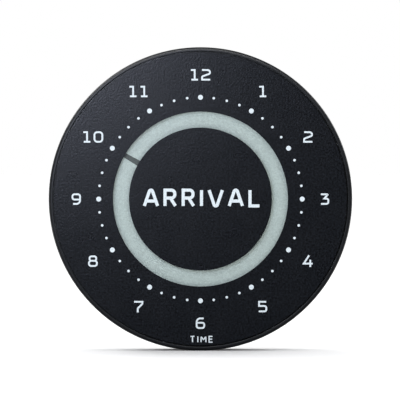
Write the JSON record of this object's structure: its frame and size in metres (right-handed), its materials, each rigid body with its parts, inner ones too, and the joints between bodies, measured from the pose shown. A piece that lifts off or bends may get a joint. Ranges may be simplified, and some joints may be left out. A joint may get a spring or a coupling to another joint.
{
  "type": "electronic parking disc",
  "caption": "Round battery-powered parking clock for a windscreen, with a ring display, printed hour dial and rear set buttons.",
  "frame": {"origin": "centre of the dial's front face, the face that goes against a windscreen", "axes": "+Z towards twelve o'clock, -Y out of the dial towards the reader, +X to the reader's right"},
  "size_m": [0.1, 0.0154, 0.1],
  "materials": {
    "black_housing": "fine moulded texture",
    "dial_film": "matt printed film",
    "dial_print": "matt white ink",
    "clear_lens": "clear polished plastic",
    "lens_tape": "double-sided tape",
    "foam": "closed-cell foam",
    "display_polariser": "pale grey-green reflective display",
    "display_segment": "dark display segment",
    "display_glass": "float glass",
    "display_seal": "cured epoxy",
    "display_reflector": "satin reflector film",
    "carrier": "moulded plastic",
    "zebra_rubber": "layered silicone",
    "board": "green solder mask",
    "chip_epoxy": "black moulding epoxy",
    "crystal_can": "nickel-plated can",
    "capacitor": "fired ceramic",
    "resistor": "glazed chip",
    "spring_contact": "nickel-plated spring strip",
    "cell_steel": "bright drawn steel",
    "cell_seal": "moulded seal",
    "pin_steel": "drawn wire",
    "screw_steel": "black zinc",
    "board_screw_steel": "bright zinc",
    "label": "satin label film",
    "button_plastic": "fine moulded texture",
    "switch_plastic": "moulded plastic",
    "plunger_plastic": "moulded plastic"
  },
  "bodies": {
    "case": {"front_bezel": "black_housing", "front_lens": "clear_lens", "dial_film": "dial_film", "centre_film": "dial_film", "lens_adhesive": "lens_tape", "display_gasket": "foam", "lcd_front_polariser": "display_polariser", "lcd_front_glass": "display_glass", "lcd_edge_seal": "display_seal", "lcd_rear_glass": "display_glass", "lcd_reflector": "display_reflector", "display_carrier": "carrier", "zebra_strip_upper": "zebra_rubber", "zebra_strip_lower": "zebra_rubber", "circuit_board": "board", "board_screws": "board_screw_steel", "microcontroller": "chip_epoxy", "motion_sensor": "chip_epoxy", "clock_crystal": "crystal_can", "capacitors": "capacitor", "resistors": "resistor", "battery_contact_positive": "spring_contact", "battery_contact_negative": "spring_contact", "coin_cell_can": "cell_steel", "coin_cell_seal": "cell_seal", "coin_cell_cap": "cell_steel", "rear_housing": "black_housing", "battery_door_pin": "pin_steel", "case_screws": "screw_steel", "rear_label": "label", "hour_switch_body": "switch_plastic", "minute_switch_body": "switch_plastic"},
    "door": {"battery_door": "black_housing", "door_foam_pad": "foam"},
    "hour_key": {"hour_button": "button_plastic", "hour_switch_plunger": "plunger_plastic"},
    "minute_key": {"minute_button": "button_plastic", "minute_switch_plunger": "plunger_plastic"}
  },
  "joints": [
    {"name": "battery_door_hinge", "type": "hinge", "parent": "case", "child": "door", "pos_m": [0, 0.0138, 0.0056], "axis": [1, 0, 0], "range_deg": [0, 100]},
    {"name": "hour_key_press", "type": "slide", "parent": "case", "child": "hour_key", "axis": [0, -1, 0], "range_m": [0, 0.0005], "stiffness_N_per_m": 400, "springref_m": -0.0005},
    {"name": "minute_key_press", "type": "slide", "parent": "case", "child": "minute_key", "axis": [0, -1, 0], "range_m": [0, 0.0005], "stiffness_N_per_m": 400, "springref_m": -0.0005}
  ]
}
